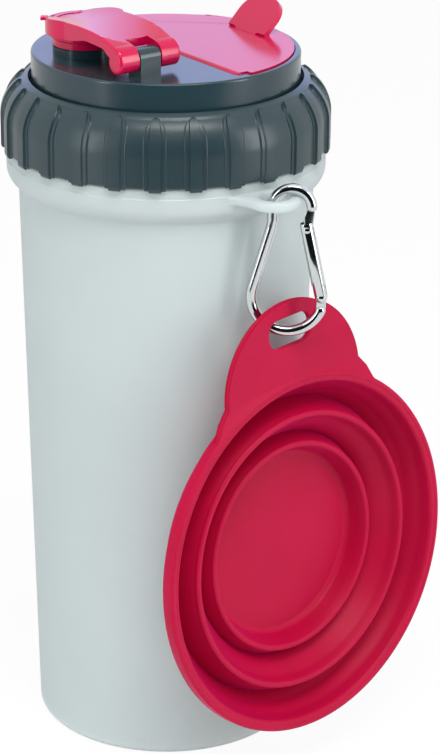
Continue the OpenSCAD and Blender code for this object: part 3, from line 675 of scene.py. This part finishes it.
def capShare(p, a, b):
    # Edge width: full at knuckles and sides, fading towards the far end and over the middle
    outside = abs(p.x - lid["spoutX"]) > cap["middleHalf"]
    if p.y < cap["knuckleY"] and max(abs(a.x), abs(b.x)) > 0.9:
        return outside
    low = cap["sideLow"] if p.y < cap["endY"] else cap["endLow"]
    if max(a.z, b.z) < 0.45 or min(abs(a.z), abs(b.z)) > 0.5 or p.z < low:
        return 0  # only edges between a top and a side face
    if not outside:
        return cap["edgeLeast"]
    return min(1, max(cap["edgeLeast"], (cap["fadeEnd"] - p.y) / cap["fadeLong"]))


def makeCap():
    x = lid["spoutX"]
    y = lid["spoutY"]
    onSpout = Matrix.Translation((x * mm, y * mm, 0))
    ob = softened("spout_cap", "spoutCap", cap["edge"], capShare, 4, clamp=False)
    # Arched underside, cut out as corners of (y, height, fillet)
    under = rounded([(26, 238.5, 0), (15, 236.9, 12), (3, 237.3, 14), (-6, 239.3, 10), (-16.6, 238.9, 3),
                     (-17.8, 236.2, 0), (-17.8, 228, 0), (26, 228, 0)])
    block = moved(plate("skirtTool", [under], -16, 16, 0.01), Matrix.Translation((x * mm, 0, 0)) @ across)
    ob = combine(ob, block, "DIFFERENCE")
    for v in ob.data.vertices:
        dx = v.co.x / mm - x
        dy = v.co.y / mm - y
        z = v.co.z / mm
        r = math.hypot(dx, dy)
        past = r - cap["endR"]
        if 0 < past < 0.25:
            v.co.x -= dx / r * past * mm
            v.co.y -= dy / r * past * mm
        if z > cap["farLow"] and dy > cap["farStart"]:
            t = min(1, (dy - cap["farStart"]) / cap["farLong"])
            v.co.z += cap["farRise"] * mm * t * t * min(1, z - cap["farLow"])
    lip = arc(x, y, cap["endR"] + cap["lipOut"], cap["lipFrom"], cap["lipTo"], 8)
    lip += arc(x, y, cap["endR"] - cap["lipIn"], cap["lipTo"], cap["lipFrom"], 8)
    ledge = plate("capLip", [lip], cap["lipZ0"], cap["lipZ1"], 0.4)
    # Skirt round the spout and crown disc under the top; corners are (radius, height, fillet)
    skirt = rounded([(9.85, 233.3, 0.2), (10.35, 233.3, 0.2), (10.35, 235.5, 0.3), (10.95, 235.7, 0.3),
                     (10.95, 240.6, 0), (9.85, 240.6, 0)], fine=0.2)
    skirt = moved(lathe("capSkirt", skirt, 160), onSpout)
    crown = rounded([(0, 239.45, 0), (12.35, 239.45, 0.2), (12.35, 240.4, 0.3), (0, 240.4, 0)],
                    closed=False, fine=0.2)
    crown = moved(lathe("capCrown", crown, 160), onSpout)
    ob = joined("spoutCap", [ob, ledge, skirt, crown])
    ob = weighed(smooth(ob, "capGloss", 34))
    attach(ob, "cap")
    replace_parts(ob, "spout_cap")


makeCap()

# Food flap: its plate, between plateLow and plateHigh and up to plateX, lies a little lower than in CAD
flap = {"edge": 0.45, "edgeLow": 229.6, "tabLow": 232.5, "plateLow": 230.4, "plateHigh": 231.4,
        "plateX": 33, "sink": 0.3}


def makeFlap():
    def share(p, a, b):
        return p.z > flap["edgeLow"] and (max(a.z, b.z) > 0.3 or p.z > flap["tabLow"])

    ob = softened("food_flap", "foodFlap", flap["edge"], share, 3)
    for v in ob.data.vertices:
        if flap["plateLow"] * mm < v.co.z < flap["plateHigh"] * mm and v.co.x < flap["plateX"] * mm:
            v.co.z -= flap["sink"] * mm
    ob = weighed(smooth(ob, "flapGloss", 34))
    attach(ob, "flap")
    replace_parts(ob, "food_flap")


makeFlap()
print("lid, cap and flap made")

# Snap hook: one bent wire drawn in its own plane as (x, height), with the centres of its two bends
hook = {"turn": -40.0, "wireR": 1.7, "endLong": 1.4, "topC": (5.4, 192.8), "topR": 6.0,
        "lowC": (4.2, 163.6), "lowR": 11.2, "spineX": -0.6, "lean": 16.0, "bendR": 12.0,
        "rivet": (14.8, 164.0), "latch": (10.1, 186.0), "gateR": 2.2, "gateEdge": 0.18, "tongue": 1.5}
gateCoil = {"radius": 0.72, "pitch": 0.62, "turns": 15.0, "section": 0.16, "sides": 8, "low": 5.1,
            "start": 0}
hookPlace = Matrix.Translation((0, -lug["reach"] * mm, 0))
hookPlace = hookPlace @ Matrix.Rotation(math.radians(hook["turn"]), 4, "Z")


def hookPath():
    # Middle of the wire, from the nose over the top, down the spine and round the lower bend
    h = hook
    tx, tz = h["topC"]
    bx, bz = h["lowC"]
    a = math.radians(h["lean"])
    length = (h["spineX"] - h["bendR"] * (1 - math.cos(a)) - bx + h["lowR"] * math.cos(a)) / math.sin(a)
    kneeZ = bz + (h["lowR"] + h["bendR"]) * math.sin(a) + length * math.cos(a)
    path = arc(tx, tz, h["topR"], -9, 180, 44)
    path += [(h["spineX"], z) for z in np.linspace(tz - 0.6, kneeZ + 0.4, 6)]
    path += arc(h["spineX"] - h["bendR"], kneeZ, h["bendR"], 0, -h["lean"], 10)
    ex, ez = path[-1]
    path += [(ex - math.sin(a) * length * k / 6, ez - math.cos(a) * length * k / 6) for k in range(1, 6)]
    return path + arc(bx, bz, h["lowR"], 180 - h["lean"], 345, 60)


def hookWire():
    # The wire, rounded off at its two ends
    path = hookPath()
    run = [0]
    for p, q in zip(path, path[1:]):
        run.append(run[-1] + math.hypot(q[0] - p[0], q[1] - p[1]))
    radii = []
    for s in run:
        t = max(0, 1 - min(s, run[-1] - s) / hook["endLong"])
        radii.append(hook["wireR"] * (0.55 + 0.45 * math.sqrt(1 - t ** 2)))
    return wire("hookWire", [(x, 0, z) for x, z in path], radii)


def hookTongues():
    # Flattened wire ends: a foot that takes the rivet, and a nose with an open slot for the latch pin
    h = hook
    tx, tz = h["topC"]
    bx, bz = h["lowC"]
    rx, rz = h["rivet"]
    lx, lz = h["latch"]
    t = h["tongue"] / 2
    foot = rounded([(rx - 1.6, rz + 1.5, 1.4), (rx + 1.6, rz + 1.5, 1.4), (rx + 1.5, rz - 3.6, 1),
                    (bx + h["lowR"] + 0.2, bz - 4.6, 0.5), (bx + h["lowR"] - 2.2, bz - 4.6, 0.5),
                    (rx - 1.5, rz - 2.0, 1)], fine=0.2)
    nose = rounded([(lx - 1.0, lz - 2.0, 0.5), (lx + 1.5, lz - 2.0, 0.5), (lx + 2.3, tz - 1.5, 1),
                    (tx + h["topR"] + 1.1, tz + 0.8, 0.3), (tx + h["topR"] - 1.1, tz + 0.8, 0.3),
                    (lx - 1.0, tz - 3.0, 0.8)], fine=0.2)
    slot = arc(lx, lz, 0.95, -80, 100, 14) + [(lx - 3.4, lz + 0.2), (lx - 3.2, lz - 1.6)]
    footOb = moved(plate("hookFoot", [foot], -t, t, 0.3), standing)
    noseOb = moved(plate("hookNose", [nose], -t, t, 0.3), standing)
    slotOb = moved(plate("latchSlot", [slot], -2, 2, 0.01), standing)
    return [footOb, combine(noseOb, slotOb, "DIFFERENCE")]


def gatePlace():
    # Gate's own frame: its foot at the rivet, its length along Z
    rx, rz = hook["rivet"]
    lx, lz = hook["latch"]
    tilt = Matrix.Rotation(math.atan2(lx - rx, lz - rz), 4, "Y")
    return hookPlace @ Matrix.Translation((rx * mm, 0, rz * mm)) @ tilt


def pinHead(name, z, body):
    # Pin across the gate with a domed head at each end, at a height along the gate
    half = hook["gateR"] + 0.12
    profile = [(0, -half), (0.75, -half + 0.05), (1.05, -half + 0.28), (0.8, -half + 0.5), (0.8, half - 0.5),
               (1.05, half - 0.28), (0.75, half - 0.05), (0, half)]
    pin = moved(lathe(name, profile, 40), gatePlace() @ Matrix.Translation((0, 0, z * mm)) @ standing)
    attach(smooth(pin, "hookSteel", 40), body)
    return pin


def makeHook():
    def everywhere(p, a, b):
        return True

    ob = moved(joined("hookWire", [hookWire()] + hookTongues()), hookPlace)
    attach(smooth(ob, "hookSteel", 40), "hook")
    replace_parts(ob, "hook_body")
    gateLength = math.hypot(hook["latch"][0] - hook["rivet"][0], hook["latch"][1] - hook["rivet"][1])
    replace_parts(pinHead("gateRivet", 0, "hook"), "gate_rivet")
    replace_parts(pinHead("latchPin", gateLength, "gate"), "gate_latch_pin")
    sleeve = softened("hook_gate", "gateSleeve", hook["gateEdge"], everywhere, 2)
    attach(smooth(sleeve, "hookSteel", 34), "gate")
    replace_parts(sleeve, "hook_gate")
    spring = winding("gateSpring", gateCoil, "pinSteel", gatePlace())
    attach(smooth(spring, "pinSteel", 60), "gate")
    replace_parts(spring, "gate_spring")


makeHook()
print("hook made")

# Folding bowl: drawn lying on its face, then hung by the top of its ear's slot from the hook
bowl = {"rimR": 60, "earR": 27.6, "earUp": 57.4, "earT": 2.4, "earEdge": 0.7, "slotUp": 76.2,
        "slotW": 17.5, "slotH": 9.2, "slotRound": 3.9, "turns": 224, "hangAt": (3.217, -59.70, 152.4),
        "hangTurns": ((6, "Z"), (-4.7, "X"), (-3.5, "Y")), "hangFrom": (1.8, -0.1, -76.8)}


def bowlPlace():
    out = Matrix.Translation(Vector(bowl["hangAt"]) * mm)
    for angle, axis in bowl["hangTurns"]:
        out = out @ Matrix.Rotation(math.radians(angle), 4, axis)
    return out @ Matrix.Translation(Vector(bowl["hangFrom"]) * mm) @ standing


def bowlEar():
    # Ear that spreads into the rim, with a slot for the hook
    b = bowl
    shoulder = [(-37.5, 43.0), (-36.0, 45.8), (-33.4, 49.5), (-31.0, 54.2)]
    outline = shoulder + arc(0, b["earUp"], b["earR"], 178, 2, 80) + [(-x, y) for x, y in shoulder[::-1]]
    outline += arc(0, 0, 57.4, 48, 132, 60)
    w = b["slotW"] / 2
    h = b["slotH"] / 2
    r = b["slotRound"]
    slot = rounded([(-w, -h, r), (w, -h, r), (w, h, r), (-w, h, r)], fine=0.4)
    slot = [(x, y + b["slotUp"]) for x, y in slot]
    return plate("bowlEar", [outline, slot], -b["earT"], -0.14, b["earEdge"])


def makeBowl():
    place = bowlPlace()
    turns = bowl["turns"]

    def dress(ob, body, angle=45):
        smooth(moved(ob, place), "bowlSilicone", angle)
        if body:
            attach(ob, body)
        return ob

    def fold(name, profile):
        # Web that stretches between two rings, from a low to a high plane
        ob = dress(lathe(name, profile, turns), None)
        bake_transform(ob)
        return ob

    # Rim: lip with a fine bead, then a broad hollow wall down to the first fold
    r = bowl["rimR"]
    lip = rounded([(56.9, -0.25, 0.5), (58.15, -0.28, 0.3), (58.5, 0, 0.25), (59.1, 0, 0.3), (r, -0.15, 0.8),
                   (r, -4.4, 0.7), (57.0, -4.5, 1.5), (54.9, -6.2, 1.5), (51.3, -12.7, 1.2),
                   (50.2, -14.3, 0.7), (48.3, -14.1, 0.6), (49.0, -12.7, 1.5), (52.6, -9.0, 7),
                   (55.4, -4.4, 7), (56.3, -0.9, 1.5)], fine=0.3)
    rim = combine(lathe("bowlRim", lip, turns), bowlEar(), "UNION")
    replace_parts(dress(rim, "bowl", 40), "bowl_rim")
    web = rounded([(48.5, -13.7, 0.3), (50.0, -13.4, 0.3), (46.34, -4.1, 0.3), (45.2, -4.5, 0.3)], fine=0.2)
    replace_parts(fold("outerWeb", web), "bowl_outer_web")
    tier = rounded([(46.4, -5.4, 0.3), (46.45, -3.3, 0.98), (44.45, -3.3, 0.98), (43.1, -6.4, 6),
                    (38.0, -12.4, 6), (36.3, -15.4, 0.5), (38.2, -15.6, 0.7), (45.3, -5.8, 0.5)], fine=0.2)
    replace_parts(dress(lathe("middleTier", tier, turns), "bowl_tier"), "bowl_middle")
    web = rounded([(36.6, -15.3, 0.3), (38.0, -15.0, 0.3), (35.34, -8.8, 0.3), (34.2, -9.2, 0.3)], fine=0.2)
    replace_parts(fold("innerWeb", web), "bowl_inner_web")
    base = rounded([(0, -15.2, 0), (30.8, -15.2, 2.4), (32.4, -10.4, 5), (33.4, -8.0, 0.98),
                    (35.4, -8.0, 0.98), (35.4, -10.4, 0.3), (34.3, -10.8, 0.8), (32.6, -16.8, 1.0),
                    (0, -16.8, 0)], closed=False, fine=0.2)
    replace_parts(dress(lathe("bowlBase", base, turns), "bowl_floor"), "bowl_base")


makeBowl()
print("bowl made")

# CAD pieces that keep their own shape
plainPieces = {"lid_seal": "sealSilicone", "flap_seal": "sealSilicone", "spout_plug": "sealSilicone",
               "cap_hinge_pin": "pinSteel", "flap_hinge_pin": "pinSteel"}
for nodeName, finishName in plainPieces.items():
    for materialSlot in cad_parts[nodeName].material_slots:
        materialSlot.material = finishes[finishName]
print("plain pieces dressed")

# Room: the world and the floor show white to the camera and in reflections, and light the object
# with their own, lower share; sizes in metres, power in watts
room = {"sky": "#F4F7FB", "skyPower": 0.46, "floor": "#FAFAFA", "floorGlow": 0.93, "floorHalf": 3}
lamps = {
    "keyTop": {"place": (-0.25, -0.6, 1.25), "aim": (0, 0, 0.1), "size": (0.8, 0.6), "power": 12},
    "stripLeft": {"place": (-1.05, -0.1, 0.35), "aim": (0, 0, 0.14), "size": (0.22, 1.1), "power": 5},
    "stripRight": {"place": (0.55, -0.95, 0.35), "aim": (0, 0, 0.14), "size": (0.22, 1.1), "power": 5},
    "backTop": {"place": (0.75, 0.95, 0.62), "aim": (0, 0, 0.22), "size": (1.7, 0.6), "power": 3.4,
                "tint": "#5A86FF", "onMatt": False},
}
darkCard = {"colour": "#1A1E20", "place": (-0.3, -0.42, 0.56), "aim": (0, 0, 0.56), "size": (1.2, 1.1)}


def lookAt(place, aim):
    turn = (Vector(aim) - Vector(place)).to_track_quat("-Z", "Y").to_matrix().to_4x4()
    return Matrix.Translation(place) @ turn


def panel(name, halfX, halfY, mat):
    mesh = bpy.data.meshes.new(name)
    corners = [(-halfX, -halfY, 0), (halfX, -halfY, 0), (halfX, halfY, 0), (-halfX, halfY, 0)]
    mesh.from_pydata(corners, [], [(0, 1, 2, 3)])
    mesh.materials.append(mat)
    return keep(bpy.data.objects.new(name, mesh))


def shownRays(tree):
    # 1 for rays from the camera, in reflections and through clear parts
    path = addNode(tree, "ShaderNodeLightPath").outputs
    seen = addNode(tree, "ShaderNodeMath", [path["Is Camera Ray"], path["Is Glossy Ray"]],
                   operation="MAXIMUM")
    return addNode(tree, "ShaderNodeMath", [seen, path["Is Transmission Ray"]], operation="MAXIMUM")


def makeWorld():
    world = bpy.data.worlds.new("studioWorld")
    world.use_nodes = True
    bpy.context.scene.world = world
    tree = world.node_tree
    tree.nodes.clear()
    sky = addNode(tree, "ShaderNodeBackground", {"Color": tone(room["sky"]), "Strength": room["skyPower"]})
    white = addNode(tree, "ShaderNodeBackground", {"Color": (1, 1, 1, 1), "Strength": 1.0})
    both = addNode(tree, "ShaderNodeMixShader", [shownRays(tree), sky, white])
    addNode(tree, "ShaderNodeOutputWorld", {"Surface": both})


def makeFloor():
    mat, tree = blankMaterial("studioFloor")
    share = addNode(tree, "ShaderNodeMath", [shownRays(tree), room["floorGlow"]], operation="MULTIPLY")
    matt = addNode(tree, "ShaderNodeBsdfDiffuse", {"Color": tone(room["floor"])})
    glow = addNode(tree, "ShaderNodeEmission", {"Color": (1, 1, 1, 1), "Strength": 1.0})
    both = addNode(tree, "ShaderNodeMixShader", [share, matt, glow])
    addNode(tree, "ShaderNodeOutputMaterial", {"Surface": both})
    panel("studioFloor", room["floorHalf"], room["floorHalf"], mat)


def softbox(name, place, aim, size, power, tint="#FFFFFF", onMatt=True):
    # Area lamp; one that is off for matt surfaces only shows in reflections
    lamp = bpy.data.lights.new(name, "AREA")
    lamp.shape = "RECTANGLE"
    lamp.size = size[0]
    lamp.size_y = size[1]
    lamp.energy = power
    lamp.color = tone(tint)[:3]
    ob = keep(bpy.data.objects.new(name, lamp))
    ob.matrix_world = lookAt(place, aim)
    ob.visible_diffuse = onMatt


def makeCard():
    # Dark card that only reflections see: it gives the wire its dark streaks and keeps plastic sides deep
    mat, tree = blankMaterial("darkCardFront")
    dark = addNode(tree, "ShaderNodeBsdfDiffuse", {"Color": tone(darkCard["colour"])})
    addNode(tree, "ShaderNodeOutputMaterial", {"Surface": dark})
    ob = panel("darkCardFront", darkCard["size"][0] / 2, darkCard["size"][1] / 2, mat)
    ob.data.transform(lookAt(darkCard["place"], darkCard["aim"]))
    ob.visible_camera = False
    ob.visible_diffuse = False
    ob.visible_shadow = False
    ob.visible_transmission = False


bpy.context.scene.view_settings.view_transform = "Standard"
makeWorld()
makeFloor()
for lampName, lampValues in lamps.items():
    softbox(lampName, **lampValues)
makeCard()
print("room made")
